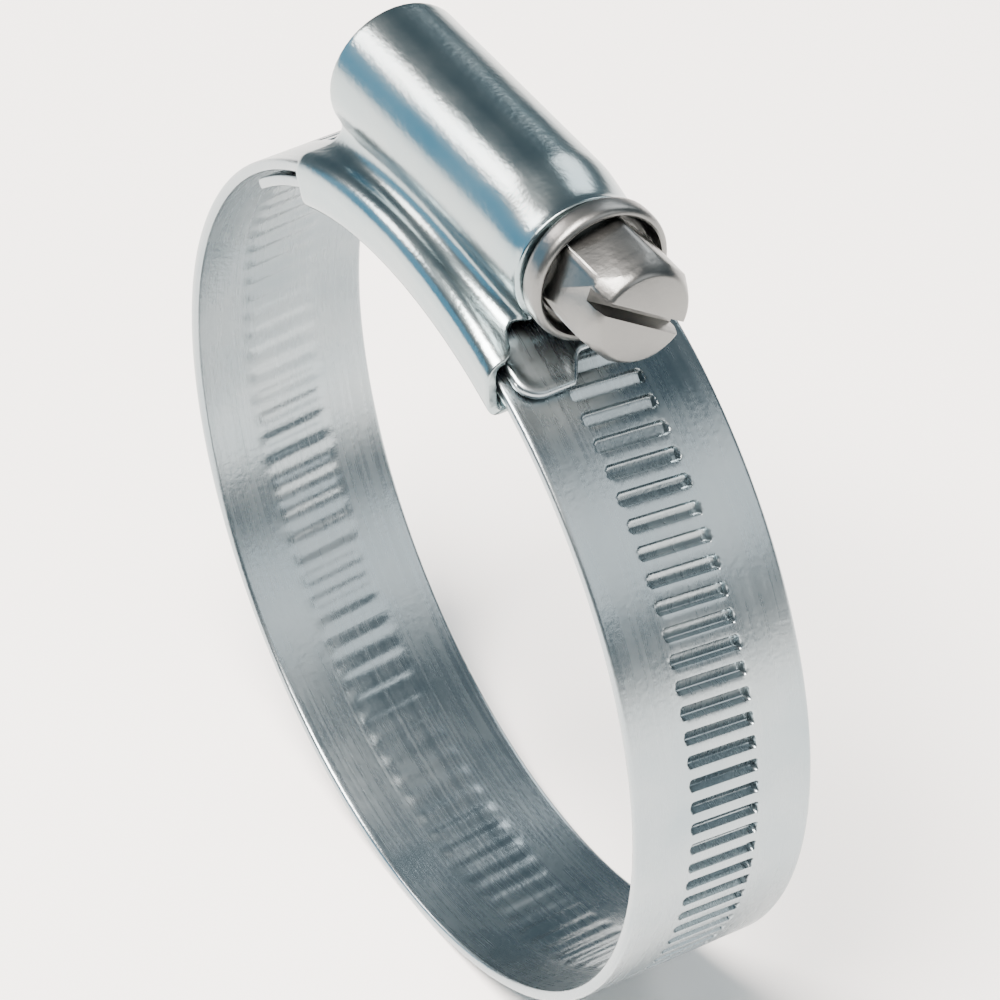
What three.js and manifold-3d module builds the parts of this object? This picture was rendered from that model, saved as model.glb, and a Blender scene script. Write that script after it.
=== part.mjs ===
// Worm-drive hose clamp: one strip of band, a pressed housing and a worm screw. Millimetres, +Z up.
// The origin is the centre of the hose bore. The bore runs along Y, the housing sits on top and the
// screw lies along X with its head towards +X. Angles are measured from +Z towards +X.
// The band is one springy strip. It is cut into short runs here, so that it can close on the hose.
import * as THREE from 'three';
import { mergeVertices } from 'three/addons/utils/BufferGeometryUtils.js';
import Module from 'manifold-3d';

// Driving dimensions
const bandOuterRadius = 29.4;   // outside of the plain loop
const bandThickness = 0.8;
const bandWidth = 13;
const layerGap = 0.3;           // between the two layers of band inside the housing
const fitGap = 0.3;             // between pieces that touch on the real clamp
const threadPitch = 1.8;
const slotLength = 5;           // across the band
const slotWidth = 0.95;         // along the band
const slotDepth = 0.5;
const wormRadius = 3.5;         // over the thread
const wormRootRadius = 2.6;
const threadBite = 0.3;         // how far the thread reaches below the top of the band
const threadCrestWidth = 0.45;
const threadRootWidth = 0.85;
const sheetThickness = 0.7;     // housing
const wormRoom = 0.7;           // between the thread and the tube around it
const tubeBack = -10.2;
const tubeFront = 13.2;
const saddleBack = -10.9;       // the curved saddle of the housing, along X at its outside
const saddleFront = 13.73;
const saddleCutBack = 2;        // its front edge is set back by this much at the tube
const lipReach = 2;             // how far the skirt turns in below the band
const mouthHalfWidth = 3;       // of the opening through which the thread meets the band
const tubeShoulderHeight = 0.8; // the pressed step between saddle and tube
const stepSetBack = 4.4;        // from the saddle's back edge to the step
const stepFlange = 0.5;         // the step is this much wider than the tube, each side
const collarRadius = 4.85;
const collarThickness = 1.7;
const collarEdge = 0.3;         // bevel round its rim
const neckRadius = 3.1;
const headAcrossFlats = 7;
const headEnd = 20.2;
const headChamfer = 2;          // along the corners of the hexagon
const headFaceRadius = 3.1;     // flat part of its end
const driveSlotWidth = 0.9;
const driveSlotDepth = 1.7;
const headTurn = -20.5;         // how the head has stopped, in degrees from a corner straight up
const driveTurn = -35;          // how the screwdriver slot lies, in degrees from level
const fixedTipX = -17.85;       // tip of the inner layer, behind the housing
const freeTipX = 15.5;          // tip of the outer layer, in front of the housing
const handoverX = 15.37;        // where the inner layer runs into the loop
const freeRunAngle = 60;        // how far back the guided run of the outer layer starts
const fixedRunEnd = 54;         // where the inner layer hands over to the loop
const spanCount = 8;            // short runs of the loop between the inner and the outer layer
const spanGap = 0.3;
const meetingGap = 0.7;         // where the last run meets the outer layer, with no hinge between them
const tipSetIn = 0.6;           // the tip is narrower than the band, each side
const tipLength = 3.2;
const tipCornerRadius = 1.6;
const tongueWidth = 4.7;        // the tip is one tongue at the band's edge, and the rest is cut back
const tipCutBack = 1.95;

const wormEndBevel = 0.5;
const wormEndGap = 0.6;         // the screw ends this far inside the tube
const shoulderLength = 1;       // plain end of the worm against the lip
const threadRunOut = 0.6;       // plain root at each end of the thread
const overlap = 0.5;            // how far one piece of a solid is sunk in another before they are joined

// Worked out from them
const rad = THREE.MathUtils.degToRad;
const deg = THREE.MathUtils.radToDeg;
const halfBand = bandWidth / 2;
const halfStrip = bandThickness / 2;
const loopRadius = bandOuterRadius - halfStrip;
const fixedEndAngle = deg(Math.asin(fixedTipX / loopRadius));
const handoverAngle = deg(Math.asin(handoverX / loopRadius));
// Both layers run round one centre, a little ahead of the loop's, so that each layer lifts by one thickness
const layerStep = bandThickness + layerGap;
const guideX = layerStep / (handoverX / loopRadius + Math.sin(rad(freeRunAngle)));
const innerRadius = loopRadius - guideX * handoverX / loopRadius;
const outerRadius = innerRadius + layerStep;
const freeTipAngle = deg(Math.asin((freeTipX - guideX) / outerRadius));
const outerTop = outerRadius + halfStrip;
const wormZ = outerTop - threadBite + wormRadius;
const boreRadius = wormRadius + wormRoom;
const tubeRadius = boreRadius + sheetThickness;
const saddleInside = outerTop + fitGap;
const saddleOutside = saddleInside + sheetThickness;
const lipOutside = innerRadius - halfStrip - fitGap;
const lipInside = lipOutside - sheetThickness;
const skirtInside = halfBand + fitGap;
const skirtOutside = skirtInside + sheetThickness;
const loopSlotStep = threadPitch / bandOuterRadius;
const guideSlotStep = threadPitch / (outerTop - slotDepth / 2);
const saddleAngle = (x) => deg(Math.asin((x - guideX) / saddleOutside));
const slotSlant = Math.atan(threadPitch / (2 * Math.PI * wormRadius));

const steel = new THREE.MeshStandardMaterial({ color: 0xb4b8b8, roughness: 0.32, metalness: 1 });
const housingSteel = new THREE.MeshStandardMaterial({ color: 0xbdb9b4, roughness: 0.24, metalness: 1 });
const screwSteel = new THREE.MeshStandardMaterial({ color: 0xaaa69e, roughness: 0.38, metalness: 1 });

const wasm = await Module();
wasm.setup();

function solid(geometry) {
  const bare = geometry.index ? geometry.toNonIndexed() : geometry.clone();
  for (const name of Object.keys(bare.attributes)) {
    if (name !== 'position') bare.deleteAttribute(name);
  }
  const merged = mergeVertices(bare, 1e-4);
  return new wasm.Manifold(new wasm.Mesh({
    numProp: 3,
    vertProperties: new Float32Array(merged.attributes.position.array),
    triVerts: new Uint32Array(merged.index.array),
  }));
}

function geometryOf(manifold) {
  const mesh = manifold.getMesh();
  const geometry = new THREE.BufferGeometry();
  geometry.setAttribute('position', new THREE.BufferAttribute(new Float32Array(mesh.vertProperties), 3));
  geometry.setIndex(new THREE.BufferAttribute(new Uint32Array(mesh.triVerts), 1));
  geometry.computeVertexNormals();
  return geometry;
}

const join = (pieces) => pieces.reduce((whole, piece) => whole.add(piece));
const cut = (whole, tools) => tools.reduce((left, tool) => left.subtract(tool), whole);

function box(x0, x1, y0, y1, z0, z1) {
  const geometry = new THREE.BoxGeometry(x1 - x0, y1 - y0, z1 - z0);
  geometry.translate((x0 + x1) / 2, (y0 + y1) / 2, (z0 + z1) / 2);
  return solid(geometry);
}

// A solid of revolution about the line z = wormZ, from [x, radius] points
function turned(points, sides = 40) {
  const outline = points.map(([x, radius]) => new THREE.Vector2(radius, x));
  const geometry = new THREE.LatheGeometry(outline, sides);
  geometry.rotateZ(-Math.PI / 2);
  geometry.translate(0, 0, wormZ);
  return solid(geometry);
}

// A curved plate across Y about centreX, from one angle in degrees to another. Its facets meet half
// way between the slots, so that each slot lies in one facet.
function ring(inside, outside, fromDegrees, toDegrees, y0, y1, centreX = 0, step = loopSlotStep) {
  const from = rad(fromDegrees);
  const to = rad(toDegrees);
  const angles = [from];
  const shortest = 0.3;   // of a facet at an end, as a share of a step
  for (let k = Math.ceil(from / step - shortest); (k + 1 - shortest) * step < to; k++) {
    angles.push((k + 0.5) * step);
  }
  angles.push(to);
  const arc = (radius) => angles.map((a) => new THREE.Vector2(radius * Math.sin(a), radius * Math.cos(a)));
  const shape = new THREE.Shape([...arc(outside), ...arc(inside).reverse()]);
  const geometry = new THREE.ExtrudeGeometry(shape, { depth: y1 - y0, bevelEnabled: false });
  geometry.translate(centreX, 0, -y1);
  geometry.rotateX(Math.PI / 2);
  return solid(geometry);
}

// One thread slot, pressed into the outside of the band at an angle about centreX
function slot(angle, top, centreX = 0) {
  const geometry = new THREE.BoxGeometry(slotWidth, slotLength, 2 * slotDepth);
  geometry.rotateZ(-slotSlant);
  geometry.translate(0, 0, top);
  geometry.rotateY(angle);
  geometry.translate(centreX, 0, 0);
  return solid(geometry);
}

// Slots at every step between two angles, each clear of the ends by half a step
function slots(from, to, step, top, centreX) {
  const tools = [];
  for (let k = Math.ceil(from / step + 0.5); k * step <= to - step / 2; k++) {
    tools.push(slot(k * step, top, centreX));
  }
  return tools;
}

// The outline of the tip, seen from above: a round tongue along one edge, and the rest cut back
function tipOutline() {
  const half = halfBand - tipSetIn;
  const r = tipCornerRadius;
  const back = tipLength - tipCutBack;
  const side = -half + tongueWidth;
  const shape = new THREE.Shape();
  shape.moveTo(-tipLength, -half);
  shape.lineTo(tipLength - r, -half);
  shape.absarc(tipLength - r, -half + r, r, -Math.PI / 2, 0);
  shape.lineTo(tipLength, side - r);
  shape.bezierCurveTo(tipLength, side, back, side - r / 2, back, side + r);
  shape.lineTo(back, half - r);
  shape.absarc(back - r, half - r, r, 0, Math.PI / 2);
  shape.lineTo(-tipLength, half);
  return shape;
}

function freeEnd() {
  const tipStart = freeTipAngle - deg(tipLength / outerRadius);
  const bottom = outerRadius - halfStrip;
  const start = guideAngle(-freeRunAngle) + degreesAlong(meetingGap / 2);
  const run = ring(bottom, outerTop, start, tipStart, -halfBand, halfBand, guideX, guideSlotStep);
  const blank = ring(
    bottom, outerTop, tipStart - 1, freeTipAngle + 2, -halfBand, halfBand, guideX, guideSlotStep);
  const depth = 6;
  const stamp = new THREE.ExtrudeGeometry(tipOutline(), { depth, bevelEnabled: false, curveSegments: 5 });
  stamp.translate(0, 0, outerRadius - depth / 2);
  stamp.rotateY(rad(tipStart));
  stamp.translate(guideX, 0, 0);
  const tip = blank.intersect(solid(stamp));
  const pressed = slots(rad(start), rad(tipStart) + guideSlotStep, guideSlotStep, outerTop, guideX);
  return cut(join([run, tip]), pressed);
}

const degreesAlong = (length) => deg(length / loopRadius);

// The angle about the guide's centre of a point of the loop at an angle about the bore's centre
function guideAngle(degrees) {
  const x = loopRadius * Math.sin(rad(degrees)) - guideX;
  const z = loopRadius * Math.cos(rad(degrees));
  return deg(Math.atan2(x, z));
}

function fixedEnd() {
  const inner = ring(
    innerRadius - halfStrip, innerRadius + halfStrip, fixedEndAngle, guideAngle(handoverAngle) + 0.5,
    -halfBand, halfBand, guideX);
  const end = fixedRunEnd - degreesAlong(spanGap / 2);
  const outer = ring(
    loopRadius - halfStrip, bandOuterRadius, handoverAngle - 0.5, end, -halfBand, halfBand);
  const first = rad(handoverAngle) - 2 * loopSlotStep;
  return cut(join([inner, outer]), slots(first, rad(fixedRunEnd), loopSlotStep, bandOuterRadius));
}

// One short run of the loop; the first meets the inner layer and the last meets the outer layer
function loopSpan(index) {
  const size = (360 - freeRunAngle - fixedRunEnd) / spanCount;
  const from = fixedRunEnd + index * size;
  const last = index === spanCount - 1;
  const start = from + degreesAlong(spanGap / 2);
  const end = from + size - degreesAlong((last ? meetingGap : spanGap) / 2);
  const run = ring(loopRadius - halfStrip, bandOuterRadius, start, end, -halfBand, halfBand);
  return cut(run, slots(rad(from), rad(from + size), loopSlotStep, bandOuterRadius));
}

function housing() {
  const back = saddleAngle(saddleBack);
  const front = saddleAngle(saddleFront);
  const plate = ring(saddleInside - overlap, saddleOutside, back, front, -skirtOutside, skirtOutside, guideX);
  const step = ring(
    saddleInside - overlap, saddleOutside + tubeShoulderHeight,
    saddleAngle(saddleBack + stepSetBack), saddleAngle(tubeFront - sheetThickness),
    -tubeRadius - stepFlange, tubeRadius + stepFlange, guideX);
  const sides = [-1, 1].map((side) => {
    const y = [side * skirtInside, side * skirtOutside].sort((a, b) => a - b);
    return ring(lipInside, saddleOutside, back, front, y[0], y[1], guideX);
  });
  const lips = [-1, 1].map((side) => {
    const y = [side * (skirtOutside - lipReach), side * skirtOutside].sort((a, b) => a - b);
    return ring(lipInside, lipOutside, back, front, y[0], y[1], guideX);
  });
  const tube = turned([[tubeBack, 0], [tubeBack, tubeRadius], [tubeFront, tubeRadius], [tubeFront, 0]], 48);
  const channel = ring(
    lipOutside, saddleInside, back - 2, front + 2, -skirtInside, skirtInside, guideX);
  const bore = turned([[tubeBack - 1, 0], [tubeBack - 1, boreRadius], [tubeFront + 1, boreRadius], [tubeFront + 1, 0]]);
  const open = box(tubeBack - 9, tubeFront + 9, -mouthHalfWidth, mouthHalfWidth, 0, wormZ - wormRootRadius);
  const shell = cut(join([plate, step, tube]), [channel, bore, open]);
  return cut(join([shell, ...sides, ...lips, retainingLip()]), saddleCuts());
}

// The saddle's front edge runs back from each outer corner to the tube
function saddleCuts() {
  const inner = skirtOutside - 2 * saddleCutBack;
  return [-1, 1].map((side) => {
    const shape = new THREE.Shape([
      new THREE.Vector2(saddleFront, side * skirtOutside),
      new THREE.Vector2(saddleFront - saddleCutBack, side * inner),
      new THREE.Vector2(saddleFront + saddleCutBack, side * inner),
    ]);
    const geometry = new THREE.ExtrudeGeometry(shape, { depth: wormZ, bevelEnabled: false });
    return solid(geometry).intersect(aroundTube());
  });
}

// Everything outside the tube, so that the cuts leave the tube whole
function aroundTube() {
  const far = saddleFront + skirtOutside;
  const space = box(-far, far, -far, far, 0, wormZ);
  return space.subtract(turned([[-far, 0], [-far, tubeRadius], [far, tubeRadius], [far, 0]]));
}

// The front of the tube turns in behind the collar and holds the screw in
function retainingLip() {
  const x0 = tubeFront - sheetThickness;
  const inside = neckRadius + fitGap;
  const outside = boreRadius + overlap;
  const whole = turned([
    [x0, inside], [x0, outside], [tubeFront, outside], [tubeFront, inside], [x0, inside],
  ]);
  const floor = wormZ - wormRootRadius;
  return whole.subtract(box(x0 - 1, tubeFront + 1, -collarRadius, collarRadius, 0, floor));
}

// A helix on the screw's axis whose frames turn with the thread
class ThreadPath extends THREE.Curve {
  constructor(start, turns) {
    super();
    this.start = start;
    this.turns = turns;
  }
  angle(t) {
    // Above the guide's centre the crest points straight down, into a slot
    return 2 * Math.PI * ((this.start - guideX) / threadPitch + this.turns * t) - Math.PI / 2;
  }
  getPoint(t, target = new THREE.Vector3()) {
    return target.set(this.start + this.turns * threadPitch * t, 0, 0);
  }
  computeFrenetFrames(segments) {
    const tangents = [];
    const normals = [];
    const binormals = [];
    for (let i = 0; i <= segments; i++) {
      const angle = this.angle(i / segments);
      tangents.push(new THREE.Vector3(0, -Math.sin(angle), Math.cos(angle)));
      normals.push(new THREE.Vector3(0, Math.cos(angle), Math.sin(angle)));
      binormals.push(new THREE.Vector3(-1, 0, 0));
    }
    return { tangents, normals, binormals };
  }
}

function thread(from, to) {
  const sunk = wormRootRadius - overlap;
  const section = new THREE.Shape([
    new THREE.Vector2(sunk, -threadRootWidth / 2),
    new THREE.Vector2(wormRadius, -threadCrestWidth / 2),
    new THREE.Vector2(wormRadius, threadCrestWidth / 2),
    new THREE.Vector2(sunk, threadRootWidth / 2),
  ]);
  const turns = (to - from) / threadPitch;
  const stepsPerTurn = 20;
  const geometry = new THREE.ExtrudeGeometry(section, {
    steps: Math.ceil(turns * stepsPerTurn),
    bevelEnabled: false,
    extrudePath: new ThreadPath(from, turns),
  });
  geometry.translate(0, 0, wormZ);
  return solid(geometry);
}

function wormScrew() {
  const lipBack = tubeFront - sheetThickness;
  const shoulderFront = lipBack - fitGap;
  const shoulderBack = shoulderFront - shoulderLength;
  const wormBack = tubeBack + wormEndGap;
  const collarBack = tubeFront + fitGap;
  const collarFront = collarBack + collarThickness;
  const body = turned([
    [wormBack, 0],
    [wormBack, wormRootRadius - wormEndBevel],
    [wormBack + wormEndBevel, wormRootRadius],
    [shoulderBack, wormRootRadius],
    [shoulderBack, wormRadius],
    [shoulderFront, wormRadius],
    [shoulderFront, neckRadius],
    [collarBack, neckRadius],
    [collarBack, collarRadius],
    [collarFront - collarEdge, collarRadius],
    [collarFront, collarRadius - collarEdge],
    [collarFront, 0],
  ]);
  const hexRadius = headAcrossFlats / Math.sqrt(3);
  const hexBack = collarFront - overlap;
  const prism = new THREE.CylinderGeometry(hexRadius, hexRadius, headEnd - hexBack, 6);
  prism.rotateZ(-Math.PI / 2);
  prism.rotateX(rad(headTurn));
  prism.translate((headEnd + hexBack) / 2, 0, wormZ);
  const dome = turned([
    [collarBack, 0],
    [collarBack, hexRadius + overlap],
    [headEnd - headChamfer, hexRadius + overlap],
    [headEnd - headChamfer, hexRadius],
    [headEnd, headFaceRadius],
    [headEnd, 0],
  ]);
  const head = solid(prism).intersect(dome);
  const drive = new THREE.BoxGeometry(2 * driveSlotDepth, 3 * hexRadius, driveSlotWidth);
  drive.rotateX(rad(driveTurn));
  drive.translate(headEnd, 0, wormZ);
  const worm = join([body, thread(wormBack + wormEndBevel + threadRunOut, shoulderBack - threadRunOut)]);
  return cut(join([worm, head]), [solid(drive)]);
}

const group = new THREE.Group();

function add(name, manifold, material) {
  const mesh = new THREE.Mesh(geometryOf(manifold), material);
  mesh.name = name;
  group.add(mesh);
}

add('housing', housing(), housingSteel);
add('worm_screw', wormScrew(), screwSteel);
add('band_fixed_end', fixedEnd(), steel);
for (let i = 0; i < spanCount; i++) {
  add(`band_span_${i + 1}`, loopSpan(i), steel);
}
add('band_free_end', freeEnd(), steel);

export default group;
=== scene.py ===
# Worm-drive hose clamp: a slotted band, a pressed housing and a hex-headed screw, all bright stainless
# steel. Sizes are in millimetres and become metres when a piece is finished. +Y is along the hose bore,
# +Z goes up through the housing and the screw lies along X. Angles are measured from +Z towards +X.
import math

import bpy
from mathutils import Matrix, Vector


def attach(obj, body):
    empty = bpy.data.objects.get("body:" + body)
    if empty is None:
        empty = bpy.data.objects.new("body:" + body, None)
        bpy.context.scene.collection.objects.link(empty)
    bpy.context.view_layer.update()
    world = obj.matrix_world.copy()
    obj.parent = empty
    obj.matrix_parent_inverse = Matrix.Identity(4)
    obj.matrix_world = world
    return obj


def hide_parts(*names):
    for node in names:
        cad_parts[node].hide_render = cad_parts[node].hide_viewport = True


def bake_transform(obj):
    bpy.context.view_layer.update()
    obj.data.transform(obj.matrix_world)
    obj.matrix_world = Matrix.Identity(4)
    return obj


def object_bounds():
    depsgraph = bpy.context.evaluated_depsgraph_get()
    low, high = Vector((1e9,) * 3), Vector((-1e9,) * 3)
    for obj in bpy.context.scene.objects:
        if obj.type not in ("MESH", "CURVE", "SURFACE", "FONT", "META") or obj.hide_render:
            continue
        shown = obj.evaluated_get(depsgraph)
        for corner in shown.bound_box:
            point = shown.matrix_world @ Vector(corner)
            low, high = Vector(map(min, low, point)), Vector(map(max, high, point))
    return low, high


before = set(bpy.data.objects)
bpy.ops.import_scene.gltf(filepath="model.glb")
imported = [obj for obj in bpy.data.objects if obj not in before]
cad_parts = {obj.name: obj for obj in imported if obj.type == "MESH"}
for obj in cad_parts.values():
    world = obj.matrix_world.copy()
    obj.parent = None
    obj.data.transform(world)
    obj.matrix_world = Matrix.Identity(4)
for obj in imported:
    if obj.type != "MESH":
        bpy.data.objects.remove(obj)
cad_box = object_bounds()

MM = 0.001

# Band
LOOP_RADIUS = 29.0              # middle of the sheet
BAND_HALF = 6.5                 # half its width
SHEET_HALF = 0.4
EDGE_RADIUS = 0.26
PITCH = 1.8                     # from slot to slot
SLOT_HALF_LENGTH = 2.5
SLOT_HALF_WIDTH = 0.5
SLOT_CORNER = 0.3
SLOT_DEPTH = 0.46
PITCH_LINE = 0.25               # the pitch holds this far below the top of the guided run
SLOT_TILT = 0.45                # the thread's flank leaves one side of a slot deeper by this share
SLOT_RIM = (0.04, 0.16)         # where a slot's wall starts outside its outline, and how wide the wall is
RIDGE_RIM = (0.3, 0.8)          # the same for the softer ridge on the inside
RIDGE_HEIGHT = 0.08             # left on the inside by each pressed slot
SLANT = math.tan(math.radians(4.7))
GUIDE_X = 0.788                 # both layers in the housing run round this point
INNER_RADIUS = 28.582
OUTER_RADIUS = 29.682
HANDOVER_ANGLE = 32.0           # where the inner layer runs into the loop
FIXED_TIP_ANGLE = -38.0
JOIN_ANGLE = -60.0              # where the loop meets the guided run
JOIN_BLEND = 8                  # slots over which the loop runs into the guided run
HANDOVER_BLEND = 6              # the same where it runs into the inner layer
PLAIN_FROM, PLAIN_OVER = 4, 1.5 # slots past the handover where the inner layer's slots stop
INNER_COVER = 14.0              # slots to each side of a hinge where a bend's end points are found; nothing uses them
BEND_HALF = 2.6                 # slots to each side of a hinge over which the strip bends
FIRST_HINGE = 54.0
SPAN_ANGLE = 30.75
SPANS = 8
TIP_START = 6.5                 # the tip's last rib, counted in slots
TIP_LENGTH = 3.75               # from there to the end of the tongue
TIP_HALF = 5.9
TIP_CORNER = 1.7
TONGUE_EDGE = -1.2              # the tongue lies between the band's -Y edge and here
FLANK_START, FLANK_WIDTH = -1.1, 1.5
CUT_BACK = 1.95                 # of the tip beside the tongue
TIP_EDGE = 0.34
TIP_DISH = 0.16                 # how far the middle of the tip is pressed in
DISH_START, DISH_SLOPE = 0.45, 0.5

# Screw and housing
SCREW_Z = 33.282
TUBE_RADIUS = 4.9
TUBE_BACK = -10.2
TUBE_FRONT = 13.2
SHEET = 0.7
SADDLE_RADIUS = 31.082
SADDLE_BACK = -22.1
SADDLE_FRONT = 24.6
SADDLE_CUT_BACK = 2.6           # its front edge runs back by this much towards the tube
FAR_SIDE_SHORTER = 1.3          # the front edge on the +Y side stands back by this
SKIRT_HALF = 7.5
LIP_RADIUS = 27.45
LIP_REACH = 2.0
FILLET = 1.2
LIP_CORNER = 0.75
FOLD_CORNER = 1.3
MOUTH_PRESS = 0.55              # how far the top of the tube's mouth is pressed down
MOUTH_FLARE = 0.12
COLLAR_BACK = 13.6
NECK_RADIUS = 3.1
NECK_CLEARANCE = 0.3
MOUTH_LIP = 0.6                 # thickness of the lip that holds the neck
LIP_CLEARANCE = 0.08            # it lies this far inside the tube's rim and wall
NECK_CUT = 12.9                 # where the threaded part ends and the turned part starts
HEAD_END = 20.2
HEAD_FLATS = 7.0
HEAD_TURN = 9.5                 # of a corner from +Y towards +Z
DRIVE_TURN = -35.0              # of the screwdriver slot from +Y towards +Z
DRIVE_WIDTH = 0.9
DRIVE_DEPTH = 1.7
BLADE_LENGTH = 12.0             # longer than the head is wide
OVERLAP = 0.2                   # solids that become one overlap by this much


def smoothstep(t):
    """Rises smoothly from 0 to 1 while t does."""
    t = min(max(t, 0.0), 1.0)
    return t * t * (3 - 2 * t)


def deselect():
    if bpy.context.object and bpy.context.object.mode != "OBJECT":
        bpy.ops.object.mode_set(mode="OBJECT")
    bpy.ops.object.select_all(action="DESELECT")


def active():
    return bpy.context.view_layer.objects.active


def edit(action, **settings):
    """Does one edit-mode operator on everything that the active object has."""
    bpy.ops.object.mode_set(mode="EDIT")
    bpy.ops.mesh.select_all(action="SELECT")
    action(**settings)
    bpy.ops.object.mode_set(mode="OBJECT")


def clean(distance=0.001):
    """Merges doubles and turns every face outwards."""
    edit(bpy.ops.mesh.remove_doubles, threshold=distance)
    edit(bpy.ops.mesh.normals_make_consistent, inside=False)


def modifier(kind, **settings):
    """Adds a modifier to the active object and applies it."""
    added = active().modifiers.new(kind.lower(), kind)
    for key, value in settings.items():
        setattr(added, key, value)
    bpy.ops.object.modifier_apply(modifier=added.name)


def finish_piece(name, material, body, nodes, smooth=35):
    """Names the active object, brings it to metres and gives it its finish; when body is a name it is
    attached to that body, otherwise its transform is only baked. It hides the CAD parts named in nodes.
    """
    piece = active()
    piece.name = name
    piece.data.name = name
    piece.data.transform(piece.matrix_world)
    piece.matrix_world = Matrix.Identity(4)
    piece.data.transform(Matrix.Scale(MM, 4))
    piece.data.materials.clear()
    piece.data.materials.append(material)
    bpy.ops.object.shade_smooth_by_angle(angle=math.radians(smooth))
    if isinstance(body, str):
        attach(piece, body)
    else:
        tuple(body[2])
        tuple(body[3])
        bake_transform(piece)
    if nodes:
        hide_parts(*nodes)


def sheet_of_points(rows, columns, place, closed=False):
    """A grid primitive with each corner put in its place: place(row, column) gives its point."""
    deselect()
    bpy.ops.mesh.primitive_grid_add(x_subdivisions=columns - 1, y_subdivisions=rows - 1, size=2)
    for v in active().data.vertices:
        column = round((v.co.x + 1) / 2 * (columns - 1))
        row = round((v.co.y + 1) / 2 * (rows - 1))
        v.co = place(row, column)
    if closed:
        edit(bpy.ops.mesh.remove_doubles, threshold=0.0005)


# Materials

def linear(colour):
    """sRGB hex to a linear colour."""
    parts = [int(colour[i:i + 2], 16) / 255 for i in (1, 3, 5)]
    return [p / 12.92 if p <= 0.04045 else ((p + 0.055) / 1.055) ** 2.4 for p in parts] + [1]


def add(tree, kind, settings=(), **links):
    """Adds a node, sets its properties or inputs and links its inputs, by name or as _number."""
    node = tree.nodes.new(kind)
    for key, value in dict(settings).items():
        if isinstance(key, int) or key in node.inputs:
            node.inputs[key].default_value = value
        else:
            setattr(node, key, value)
    for key, output in links.items():
        socket = node.inputs[int(key[1:])] if key[0] == "_" else node.inputs[key]
        tree.links.new(output, socket)
    return node


PATCH_SCALE = 160.0             # handling marks about 6 mm across
GRAIN_SCALE = 2600.0            # grain about 0.4 mm across, coarser than the real one so that it shows
GRAIN_DEPTH = 0.00004


def steel(name, dull, bright, roughness, spread, line_scale, line_depth):
    """Stainless steel with lines left by rolling or turning, and small marks from handling."""
    material = bpy.data.materials.new(name)
    material.use_nodes = True
    tree = material.node_tree
    tree.nodes.clear()
    output = add(tree, "ShaderNodeOutputMaterial")
    shader = add(tree, "ShaderNodeBsdfPrincipled", {"Metallic": 1.0})
    tree.links.new(shader.outputs["BSDF"], output.inputs["Surface"])
    coordinates = add(tree, "ShaderNodeTexCoord").outputs["Object"]
    stretched = add(tree, "ShaderNodeMapping", {"Scale": line_scale}, Vector=coordinates)
    lines = add(tree, "ShaderNodeTexNoise", {"Scale": 1.0, "Detail": 3.0, "Roughness": 0.6},
                Vector=stretched.outputs["Vector"])
    patches = add(tree, "ShaderNodeTexNoise", {"Scale": PATCH_SCALE, "Detail": 4.0, "Roughness": 0.55},
                  Vector=coordinates)
    fine = add(tree, "ShaderNodeTexNoise", {"Scale": GRAIN_SCALE, "Detail": 2.0}, Vector=coordinates)
    ramp = add(tree, "ShaderNodeMix", {"data_type": "RGBA", 6: linear(dull), 7: linear(bright)},
               _0=patches.outputs["Fac"])
    tree.links.new(ramp.outputs[2], shader.inputs["Base Color"])
    both = add(tree, "ShaderNodeMath", {"operation": "ADD"},
               _0=lines.outputs["Fac"], _1=patches.outputs["Fac"])
    rough = add(tree, "ShaderNodeMapRange",
                {"From Min": 0.6, "From Max": 1.4,
                 "To Min": roughness - spread, "To Max": roughness + spread},
                Value=both.outputs[0])
    tree.links.new(rough.outputs["Result"], shader.inputs["Roughness"])
    brushed = add(tree, "ShaderNodeBump", {"Strength": 1.0, "Distance": line_depth},
                  Height=lines.outputs["Fac"])
    grained = add(tree, "ShaderNodeBump", {"Strength": 0.35, "Distance": GRAIN_DEPTH},
                  Height=fine.outputs["Fac"], Normal=brushed.outputs["Normal"])
    tree.links.new(grained.outputs["Normal"], shader.inputs["Normal"])
    return material


# Cold-rolled strip: mill lines run along it, about 0.2 mm apart, and it shines softly across them.
# Both colours are darker than bare stainless and tinted teal, a painted reflection of blue-grey
# surroundings.
band_steel = steel("rolled_stainless_strip", "#7b8a91", "#a0a8ab", 0.27, 0.07, (25, 4200, 25), 0.000007)
# Sheet pressed over a former and drawn bright, so its bends mirror their surroundings.
# Both colours are darker than bare stainless and tinted teal, a painted reflection of blue-grey
# surroundings.
housing_steel = steel("pressed_stainless_sheet", "#789098", "#a2a8a7", 0.22, 0.05,
                      (60, 900, 900), 0.000008)
# Cold-headed and tumbled screw: satin, with faint rings round its axis.
screw_steel = steel("cold_headed_stainless", "#5d6061", "#7b7c7a", 0.33, 0.06, (1800, 150, 150), 0.00001)


# Band

def around(centre_x, radius, angle):
    """A point on an arc about (centre_x, 0), at an angle from +Z towards +X."""
    return Vector((centre_x + radius * math.sin(angle), 0, radius * math.cos(angle)))


def guide_angle(degrees):
    """The angle about the guide's centre of a point on the loop."""
    p = around(0, LOOP_RADIUS, math.radians(degrees))
    return math.atan2(p.x - GUIDE_X, p.z)


LOOP_STEP = PITCH / (LOOP_RADIUS + SHEET_HALF)
GUIDE_STEP = PITCH / (OUTER_RADIUS + SHEET_HALF - PITCH_LINE)
INNER_STEP = PITCH / (INNER_RADIUS + SHEET_HALF)
JOIN = guide_angle(JOIN_ANGLE) / GUIDE_STEP     # counted in slots along the strip
FIXED_TURN = HANDOVER_ANGLE - 360
FIXED_JOIN = JOIN + math.radians(FIXED_TURN - JOIN_ANGLE) / LOOP_STEP


def slots_at(degrees):
    """Where the loop reaches an angle, counted in slots; it runs down from -60 to -328 degrees."""
    return JOIN + math.radians(degrees - JOIN_ANGLE) / LOOP_STEP


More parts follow.
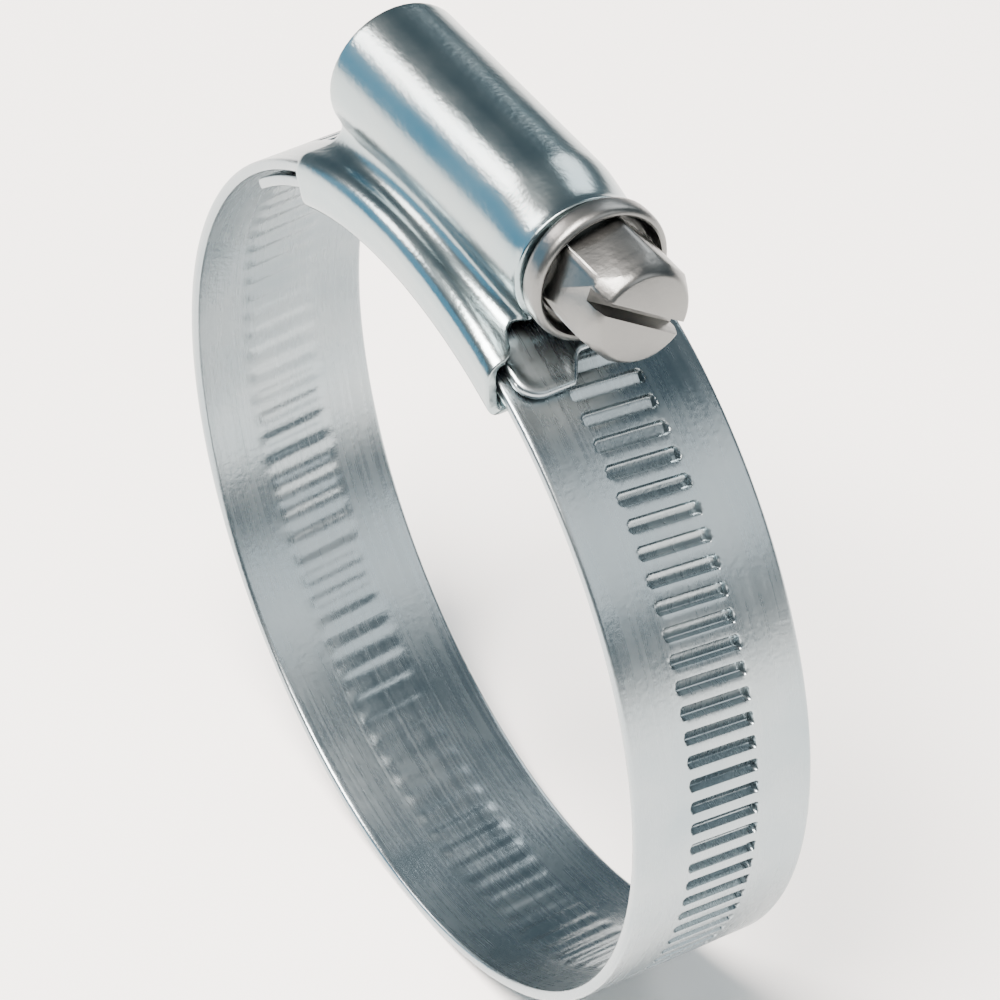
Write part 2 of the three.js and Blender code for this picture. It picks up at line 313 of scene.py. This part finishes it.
def strip_line(q):
    """A point on the middle of the strip, from its free tip, round the loop, to its fixed end."""
    def outer(q):
        return around(GUIDE_X, OUTER_RADIUS, q * GUIDE_STEP)

    def loop(q):
        return around(0, LOOP_RADIUS, math.radians(JOIN_ANGLE) + (q - JOIN) * LOOP_STEP)

    def inner(q):
        return around(GUIDE_X, INNER_RADIUS, guide_angle(HANDOVER_ANGLE) + (q - FIXED_JOIN) * INNER_STEP)

    near = smoothstep((q - JOIN) / JOIN_BLEND + 0.5)
    far = smoothstep((q - FIXED_JOIN) / HANDOVER_BLEND + 0.5)
    if far < 1:
        return inner(q).lerp(loop(q), far)
    return loop(q).lerp(outer(q), near)


def strip_normal(q):
    """Straight out of the strip's top."""
    along = strip_line(q + 0.05) - strip_line(q - 0.05)
    return Vector((-along.z, 0, along.x)).normalized()


def on_strip(q, y, height):
    """A point of the strip: q slots along it, y across it and height above its middle."""
    q = q + y * SLANT / PITCH
    p = strip_line(q) + strip_normal(q) * height
    return Vector((p.x, y, p.z))


def slot_inset(u, y):
    """How far inside a slot's outline a point is, in mm; u is from the slot's middle along the strip."""
    a = abs(u) - SLOT_HALF_WIDTH + SLOT_CORNER
    b = abs(y) - SLOT_HALF_LENGTH + SLOT_CORNER
    return SLOT_CORNER - (math.hypot(max(a, 0), max(b, 0)) + min(max(a, b), 0))


def pressed_height(y, height, side, u, share=1.0):
    """The height of a point of the section once the slots are pressed in; share fades them out."""
    inset = slot_inset(u, y)
    if side > 0:
        rim = smoothstep((inset + SLOT_RIM[0]) / SLOT_RIM[1])
        return height - SLOT_DEPTH * (1 + SLOT_TILT * u / SLOT_HALF_WIDTH) * rim * share
    if side < 0:
        return height - RIDGE_HEIGHT * share * smoothstep((inset + RIDGE_RIM[0]) / RIDGE_RIM[1])
    return height


HALF_COLUMNS = (0.0, 0.18, 0.34, 0.41, 0.46, 0.52, 0.66)
COLUMNS = [-u for u in reversed(HALF_COLUMNS[1:])] + list(HALF_COLUMNS) + [PITCH / 2]
TOP_HALF = (0.0, 0.3, 0.6, 0.9, 1.2, 1.5, 1.8, 2.1, 2.25, 2.36, 2.44, 2.5, 2.58, 2.75, 3.1, 3.5, 3.9, 4.3,
            4.7, 5.0, 5.3, 5.55, 5.8, 6.0, 6.15)
BOTTOM_HALF = (0.0, 0.3, 0.6, 0.9, 1.2, 1.5, 1.8, 2.1, 2.4, 2.75, 3.1, 3.5, 3.9, 4.3, 4.7, 5.0, 5.3, 5.55,
               5.8, 6.0, 6.15)


def section():
    """Points round the strip's section: (y, height, side), side +1 on top, -1 below, 0 on an edge."""
    top = [(y, SHEET_HALF, 1) for y in [-t for t in reversed(TOP_HALF[1:])] + list(TOP_HALF)]
    bottom = [(y, -SHEET_HALF, -1) for y in list(reversed(BOTTOM_HALF)) + [-b for b in BOTTOM_HALF[1:]]]
    straight = SHEET_HALF - EDGE_RADIUS
    edge = []
    for degrees in (80, 55, 30, 8, -8, -30, -55, -80):
        a = math.radians(degrees)
        z = EDGE_RADIUS * math.sin(a) + math.copysign(straight, degrees)
        edge.append((BAND_HALF - EDGE_RADIUS + EDGE_RADIUS * math.cos(a), z, 0))
    other = [(-y, z, 0) for y, z, _ in reversed(edge)]
    loop = top + edge + bottom + other
    return loop + [loop[0]]


SECTION = section()


def run_columns(first, last):
    """Columns from rib to rib as (slots along the strip, mm from the nearest slot's middle)."""
    columns = [(first, PITCH / 2)]
    for cell in range(round(last - first)):
        middle = first + 0.5 + cell
        columns += [(middle + u / PITCH, u) for u in COLUMNS]
    return columns


def strip_run(first, last, share=lambda q: 1.0):
    """The strip from one rib to another: first and last are whole slots plus a half."""
    columns = run_columns(first, last)

    def place(row, column):
        y, height, side = SECTION[row]
        q, u = columns[column]
        return on_strip(q, y, pressed_height(y, height, side, u, share(q)))

    sheet_of_points(len(SECTION), len(columns), place, closed=True)
    cap_ends()


def cap_ends():
    """Closes both ends of the strip."""
    bpy.ops.object.mode_set(mode="EDIT")
    bpy.ops.mesh.select_all(action="DESELECT")
    bpy.ops.mesh.select_mode(type="EDGE")
    bpy.ops.mesh.select_non_manifold(extend=False)
    bpy.ops.mesh.edge_face_add()
    bpy.ops.object.mode_set(mode="OBJECT")
    clean()


def rib(degrees):
    """The rib nearest to an angle of the loop, counted in slots."""
    return math.floor(slots_at(degrees)) + 0.5


FREE_START = rib(JOIN_ANGLE)


def outline_reach(y):
    """How far the tip reaches past its last rib: a round tongue at one edge, and the rest cut back."""
    corner = max(abs(y) - TIP_HALF + TIP_CORNER, 0)
    rounding = TIP_CORNER - math.sqrt(max(TIP_CORNER ** 2 - corner ** 2, 0))
    flank = smoothstep((y - TONGUE_EDGE - FLANK_START) / FLANK_WIDTH)
    return TIP_LENGTH - CUT_BACK * flank - rounding


def tip_outline():
    """Points along the tip's edge, from which the rounding of the edge is measured."""
    points = []
    for i in range(-120, 121):
        y = TIP_HALF * i / 120
        points.append((outline_reach(y), y))
    for side in (-1, 1):
        points += [(outline_reach(TIP_HALF) * t / 20, side * TIP_HALF) for t in range(-10, 20)]
    return points


OUTLINE = tip_outline()


# How far along the tip its columns lie, closer together towards its rounded end
TIP_SHARES = (0.1, 0.25, 0.4, 0.55, 0.68, 0.78, 0.85, 0.9, 0.94, 0.97, 0.99, 1.0)


def on_tip(y, height, side, share):
    """A point of the tip: it narrows, its edge is rounded and its middle is pressed in."""
    narrow = 1 - (1 - TIP_HALF / BAND_HALF) * smoothstep(share / 0.4)
    flat_y = y * narrow
    along = share * outline_reach(flat_y * TIP_HALF / (BAND_HALF * narrow))
    gap = 0 if share == 1 else min(math.hypot(along - a, flat_y - b) for a, b in OUTLINE)
    rim = min(gap / TIP_EDGE, 1)
    height *= math.sqrt(max(1 - (1 - rim) ** 2, 0))
    if side > 0:
        height -= TIP_DISH * smoothstep((gap - DISH_START) / DISH_SLOPE) * smoothstep(share / 0.3)
    q = TIP_START + along / PITCH
    p = strip_line(q + y * SLANT / PITCH * (1 - smoothstep(share)))
    n = strip_normal(q)
    return Vector((p.x + n.x * height, flat_y, p.z + n.z * height))


def band_free_end():
    """The outer layer, from the join to its tongue."""
    columns = run_columns(FREE_START, TIP_START)

    def place(row, column):
        y, height, side = SECTION[row]
        if column >= len(columns):
            return on_tip(y, height, side, TIP_SHARES[column - len(columns)])
        q, u = columns[column]
        return on_strip(q, y, pressed_height(y, height, side, u))

    sheet_of_points(len(SECTION), len(columns) + len(TIP_SHARES), place, closed=True)
    cap_ends()
    finish_piece("band_outer_run", band_steel, "free_end", ["band_free_end"])


def hinge_angle(index):
    """Where on the loop a hinge lies, in degrees; the loop runs down from the join."""
    return FIRST_HINGE + SPAN_ANGLE * index - 360


def band():
    """The whole strip: one piece on each end, and one that spans each hinge."""
    cuts = [rib(hinge_angle(0) - INNER_COVER)]
    cuts += [rib(hinge_angle(i) + SPAN_ANGLE / 2) for i in range(SPANS)]
    # fixed end: the inner layer under the housing and the start of the loop
    tip = FIXED_JOIN + (math.radians(FIXED_TIP_ANGLE) - guide_angle(HANDOVER_ANGLE)) / INNER_STEP
    start = math.floor(tip) + 0.5
    strip_run(start, cuts[0], lambda q: smoothstep((q - FIXED_JOIN + PLAIN_FROM) / PLAIN_OVER))
    finish_piece("band_inner_run", band_steel, "clamp_frame", ["band_fixed_end"])
    for i in range(SPANS):
        strip_run(cuts[i], cuts[i + 1])
        hinge = slots_at(hinge_angle(i))
        parent = "clamp_frame" if i == 0 else f"span_{i}"
        ends = [strip_line(hinge + side * BEND_HALF) * MM for side in (-1, 1)]
        finish_piece(f"band_bend_{i + 1}", band_steel, (parent, f"span_{i + 1}", *ends),
                     [f"band_span_{i + 1}"])
    strip_run(cuts[-1], FREE_START)
    finish_piece("band_last_run", band_steel, f"span_{SPANS}", [])
    band_free_end()


band()

# Housing: one pressed sheet, from the lip under one edge of the band over the tube to the other lip

def arc(centre, radius, start, end, count):
    """Points on an arc in the section; angles in degrees from +Y towards +Z."""
    points = []
    for i in range(count):
        a = math.radians(start + (end - start) * i / (count - 1))
        points.append((centre[0] + radius * math.cos(a), centre[1] + radius * math.sin(a)))
    return points


SADDLE_SHARES = (0.66, 0.33)    # where the flat of the saddle has points, from its fillet outwards


def housing_section(saddle_z):
    """Half of the outside of the sheet, from the lip's edge to the tube's top; z is in the section."""
    drop = SADDLE_RADIUS - saddle_z
    bottom = LIP_RADIUS - drop
    y = SKIRT_HALF
    points = [(y - LIP_REACH, bottom), (y - 1.4, bottom)]
    points += arc((y - LIP_CORNER, bottom + LIP_CORNER), LIP_CORNER, -90, 0, 5)
    points += [(y, saddle_z - 2.4), (y, saddle_z - 1.6)]
    points += arc((y - FOLD_CORNER, saddle_z - FOLD_CORNER), FOLD_CORNER, 0, 90, 7)
    fillet_z = saddle_z + FILLET
    fillet_y = math.sqrt((TUBE_RADIUS + FILLET) ** 2 - (SCREW_Z - fillet_z) ** 2)
    points += [(fillet_y + (y - FOLD_CORNER - fillet_y) * t, saddle_z) for t in SADDLE_SHARES]
    meeting = math.degrees(math.atan2(SCREW_Z - fillet_z, -fillet_y))
    points += arc((fillet_y, fillet_z), FILLET, 270, meeting, FILLET_POINTS)
    start = math.degrees(math.atan2(fillet_z - SCREW_Z, fillet_y))
    points += arc((0, SCREW_Z), TUBE_RADIUS, start, 90, 16)[1:]
    return points


TUBE_POINTS = 15                # rows of the section on the tube, above its fillet
FILLET_POINTS = 8
FOLD_END = 15                   # the row where the skirt has turned into the saddle
CUT_ROWS = 5                    # the cut back is whole this many rows before the tube
STATIONS = 60                   # sections along the housing
CUT_FROM, CUT_OVER = 0.6, 0.4   # share of the saddle's length over which its front edge is cut back
UPRIGHT_FROM, UPRIGHT_OVER = 0.55, 0.45     # the same for the skirt's turn to upright
PRESS_FROM, PRESS_OVER = 8.4, 4.2           # mm along the tube
PRESS_DIRECTION = Vector((0, 0.5, 0.87))
FLARE_OVER = 0.5                # mm of the tube's front that flare


def press_down(x, y, z):
    """The tube's mouth is closed a little on top, and its rim flares."""
    outward = Vector((0, y, z - SCREW_Z)).normalized()
    toward = max(outward.dot(PRESS_DIRECTION), 0)
    amount = MOUTH_PRESS * smoothstep((x - PRESS_FROM) / PRESS_OVER) * toward
    amount -= MOUTH_FLARE * smoothstep((x - TUBE_FRONT + FLARE_OVER) / FLARE_OVER)
    return y - outward.y * amount, z - outward.z * amount


def housing():
    """The sheet is lofted from the lip on -Y over the tube to the lip on +Y, then thickened inwards."""
    half_count = len(housing_section(SADDLE_RADIUS))
    rows = 2 * half_count - 1

    def place(row, column):
        share = column / (STATIONS - 1)
        left = row < half_count
        index = row if left else rows - 1 - row
        side = -1 if left else 1
        # how much of the tube there is in this row: 0 on the saddle, 1 on the tube
        fillet_start = half_count - TUBE_POINTS - FILLET_POINTS
        tube_share = smoothstep((index - fillet_start) / (FILLET_POINTS - 1))
        angle = math.radians(SADDLE_BACK + (SADDLE_FRONT - SADDLE_BACK) * share)
        saddle_x = GUIDE_X + SADDLE_RADIUS * math.sin(angle)
        inward = smoothstep((index - FOLD_END) / (half_count - TUBE_POINTS - CUT_ROWS - FOLD_END))
        cut_back = SADDLE_CUT_BACK * inward + FAR_SIDE_SHORTER * (side > 0)
        saddle_x -= cut_back * smoothstep((share - CUT_FROM) / CUT_OVER)
        tube_x = TUBE_BACK + (TUBE_FRONT - TUBE_BACK) * share
        x = saddle_x + (tube_x - saddle_x) * tube_share
        reach = min(max((x - GUIDE_X) / SADDLE_RADIUS, -0.99), 0.99)
        saddle_z = SADDLE_RADIUS * math.cos(math.asin(reach))
        y, z = housing_section(saddle_z)[index]
        if index < fillet_start - len(SADDLE_SHARES):
            # the skirt and lip stand square to the arc at the back, and upright at the front
            depth = saddle_z - z
            x -= depth * reach * (1 - smoothstep((share - UPRIGHT_FROM) / UPRIGHT_OVER))
            z = math.sqrt((SADDLE_RADIUS - depth) ** 2 - (x - GUIDE_X) ** 2)
        if index >= half_count - TUBE_POINTS:
            return Vector((x, *press_down(x, side * y, z)))
        return Vector((x, side * y, z))

    sheet_of_points(rows, STATIONS, place)
    clean()
    modifier("SOLIDIFY", thickness=SHEET, offset=-1, use_even_offset=True)
    modifier("BEVEL", width=0.16, segments=3, limit_method="ANGLE", angle_limit=math.radians(50))
    finish_piece("housing_shell", housing_steel, "clamp_frame", ["housing"], smooth=50)


housing()


# Screw

def turned(outline, steps=64):
    """Spins an outline of (x, radius) points about the screw's axis."""
    deselect()
    mesh = bpy.data.meshes.new("outline")
    mesh.from_pydata([(x, 0, SCREW_Z + r) for x, r in outline],
                     [(i, i + 1) for i in range(len(outline) - 1)], [])
    blank = bpy.data.objects.new("outline", mesh)
    bpy.context.scene.collection.objects.link(blank)
    bpy.context.view_layer.objects.active = blank
    blank.select_set(True)
    edit(bpy.ops.mesh.spin, steps=steps, angle=2 * math.pi, center=(0, 0, SCREW_Z), axis=(1, 0, 0))
    clean()
    return blank


def combine(tool, how):
    """Joins, cuts or crosses the active object with another one, which is used up."""
    modifier("BOOLEAN", operation=how, object=tool, solver="EXACT")
    bpy.data.objects.remove(tool)


def about_screw(degrees):
    """A turn about the screw's axis."""
    centre = Vector((0, 0, SCREW_Z))
    turn = Matrix.Rotation(math.radians(degrees), 4, "X")
    return Matrix.Translation(centre) @ turn @ Matrix.Translation(-centre)


def hex_head():
    """A hexagon crossed with a domed blank, with the screwdriver slot cut across its end."""
    corner = HEAD_FLATS / math.sqrt(3)
    ends = [(2.0, corner + 0.4), (2.0, corner + 0.03), (1.4, 3.84), (0.8, 3.57), (0.3, 3.3),
            (0.1, 3.16), (0.0, 2.98), (0.0, 0)]
    dome = turned([(COLLAR_BACK + OVERLAP, 0), (COLLAR_BACK + OVERLAP, corner + 0.4)]
                  + [(HEAD_END - back, radius) for back, radius in ends], 96)
    deselect()
    length = HEAD_END - COLLAR_BACK
    bpy.ops.mesh.primitive_cylinder_add(vertices=6, radius=corner, depth=length,
                                        location=((HEAD_END + COLLAR_BACK) / 2, 0, SCREW_Z),
                                        rotation=(0, math.pi / 2, 0))
    head = active()
    bpy.ops.object.transform_apply(location=True, rotation=True, scale=True)
    # one corner is brought level with +Y, and from there to where the head has stopped
    corners = [math.degrees(math.atan2(v.co.z - SCREW_Z, v.co.y)) % 60 for v in head.data.vertices]
    head.data.transform(about_screw(HEAD_TURN) @ about_screw(-min(corners)))
    modifier("BEVEL", width=0.35, segments=4, limit_method="ANGLE", angle_limit=math.radians(40))
    combine(dome, "INTERSECT")
    head = active()
    deselect()
    bpy.ops.mesh.primitive_cube_add(size=1, location=(HEAD_END, 0, SCREW_Z),
                                    scale=(2 * DRIVE_DEPTH, BLADE_LENGTH, DRIVE_WIDTH))
    blade = active()
    bpy.ops.object.transform_apply(location=True, rotation=True, scale=True)
    blade.data.transform(about_screw(DRIVE_TURN))
    deselect()
    head.select_set(True)
    bpy.context.view_layer.objects.active = head
    combine(blade, "DIFFERENCE")
    clean()
    modifier("BEVEL", width=0.14, segments=3, limit_method="ANGLE", angle_limit=math.radians(38))


def worm():
    """The threaded part, which keeps the shape that it has in the frame."""
    deselect()
    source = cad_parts["worm_screw"]
    mesh = source.data.copy()
    copy = bpy.data.objects.new("worm", mesh)
    bpy.context.scene.collection.objects.link(copy)
    mesh.transform(Matrix.Scale(1 / MM, 4))
    bpy.context.view_layer.objects.active = copy
    copy.select_set(True)
    edit(bpy.ops.mesh.remove_doubles, threshold=0.0005)
    edit(bpy.ops.mesh.bisect, plane_co=(NECK_CUT, 0, SCREW_Z), plane_no=(1, 0, 0),
         use_fill=True, clear_outer=True)
    return copy


def screw():
    """Worm, collar and head, joined into one solid."""
    rim = [(0.0, 4.6), (0.06, 4.74), (0.2, 4.83), (0.45, 4.85), (1.1, 4.85), (1.35, 4.8), (1.53, 4.7),
           (1.63, 4.56), (1.65, 4.42), (1.6, 4.3), (1.42, 4.22), (1.1, 4.16), (0.85, 4.06), (0.74, 3.88),
           (0.7, 3.6), (0.7, 0)]
    collar = turned([(NECK_CUT - OVERLAP, 0), (NECK_CUT - OVERLAP, NECK_RADIUS), (COLLAR_BACK, NECK_RADIUS)]
                    + [(COLLAR_BACK + x, radius) for x, radius in rim], 72)
    thread = worm()
    hex_head()
    combine(collar, "UNION")
    combine(thread, "UNION")
    finish_piece("screw_with_head", screw_steel, "screw", ["worm_screw"], smooth=32)


def mouth_lip():
    """The turned-in lip behind the collar, which holds the screw in the tube."""
    front = TUBE_FRONT - LIP_CLEARANCE
    back = front - MOUTH_LIP
    inside, outside = NECK_RADIUS + NECK_CLEARANCE, TUBE_RADIUS - SHEET - LIP_CLEARANCE
    turned([(back, inside), (back, outside), (front, outside), (front, inside), (back, inside)])
    modifier("BEVEL", width=0.12, segments=3, limit_method="ANGLE", angle_limit=math.radians(40))
    finish_piece("tube_mouth_lip", housing_steel, "clamp_frame", [])


screw()
mouth_lip()

# Floor, light and camera
FLOOR_SIZE = 3
deselect()
bpy.ops.mesh.primitive_plane_add(size=FLOOR_SIZE, location=(0, 0, cad_box[0].z))
floor = active()
floor.name = "floor"
paper = bpy.data.materials.new("matt_paper")
paper.use_nodes = True
paper.node_tree.nodes["Principled BSDF"].inputs["Base Color"].default_value = linear("#fbfbfa")
paper.node_tree.nodes["Principled BSDF"].inputs["Roughness"].default_value = 0.9
floor.data.materials.append(paper)


def soft_box(name, place, size, power, colour):
    """A square area light that faces the clamp; places are in metres."""
    data = bpy.data.lights.new(name, "AREA")
    data.shape = "RECTANGLE"
    data.size, data.size_y = size
    data.energy = power
    data.color = linear(colour)[:3]
    light = bpy.data.objects.new(name, data)
    light.location = place
    light.rotation_mode = "QUATERNION"
    light.rotation_quaternion = (-Vector(place)).to_track_quat("-Z", "Y")
    bpy.context.scene.collection.objects.link(light)


soft_box("key", (0.1, -0.3, 0.8), (0.5, 0.5), 42, "#fff3ea")
soft_box("left", (-0.66, -0.4, 0.62), (0.3, 0.3), 6, "#fff1ea")
soft_box("back_left", (-0.62, -0.72, 0.24), (0.9, 0.55), 2.6, "#5aa9cc")
soft_box("back", (-0.3, 0.6, 0.5), (0.5, 0.4), 3, "#ffffff")
soft_box("right", (0.68, 0.34, 0.48), (0.7, 0.5), 2.8, "#f2efec")

world = bpy.data.worlds.new("studio")
world.use_nodes = True
world.node_tree.nodes["Background"].inputs["Color"].default_value = linear("#9cb8c6")
world.node_tree.nodes["Background"].inputs["Strength"].default_value = 0.42
bpy.context.scene.world = world

VIEW_TARGET = Vector((-0.49965, 1.22465, 3.65858))
VIEW_BACK = Vector((0.66643713, -0.37688499, 0.64328785))
VIEW_RIGHT = Vector((0.50818949, 0.86096266, -0.02206235))
VIEW_UP = Vector((-0.54553185, 0.3416153, 0.76530647))
VIEW_DISTANCE = 417.38
camera_data = bpy.data.cameras.new("camera")
camera_data.sensor_width = 36
camera_data.lens = 227.83
camera_data.clip_start, camera_data.clip_end = 0.01, 20
camera = bpy.data.objects.new("camera", camera_data)
turn = Matrix((VIEW_RIGHT, VIEW_UP, VIEW_BACK)).transposed().to_4x4()
camera.matrix_world = Matrix.Translation((VIEW_TARGET + VIEW_BACK * VIEW_DISTANCE) * MM) @ turn
bpy.context.scene.collection.objects.link(camera)
bpy.context.scene.camera = camera
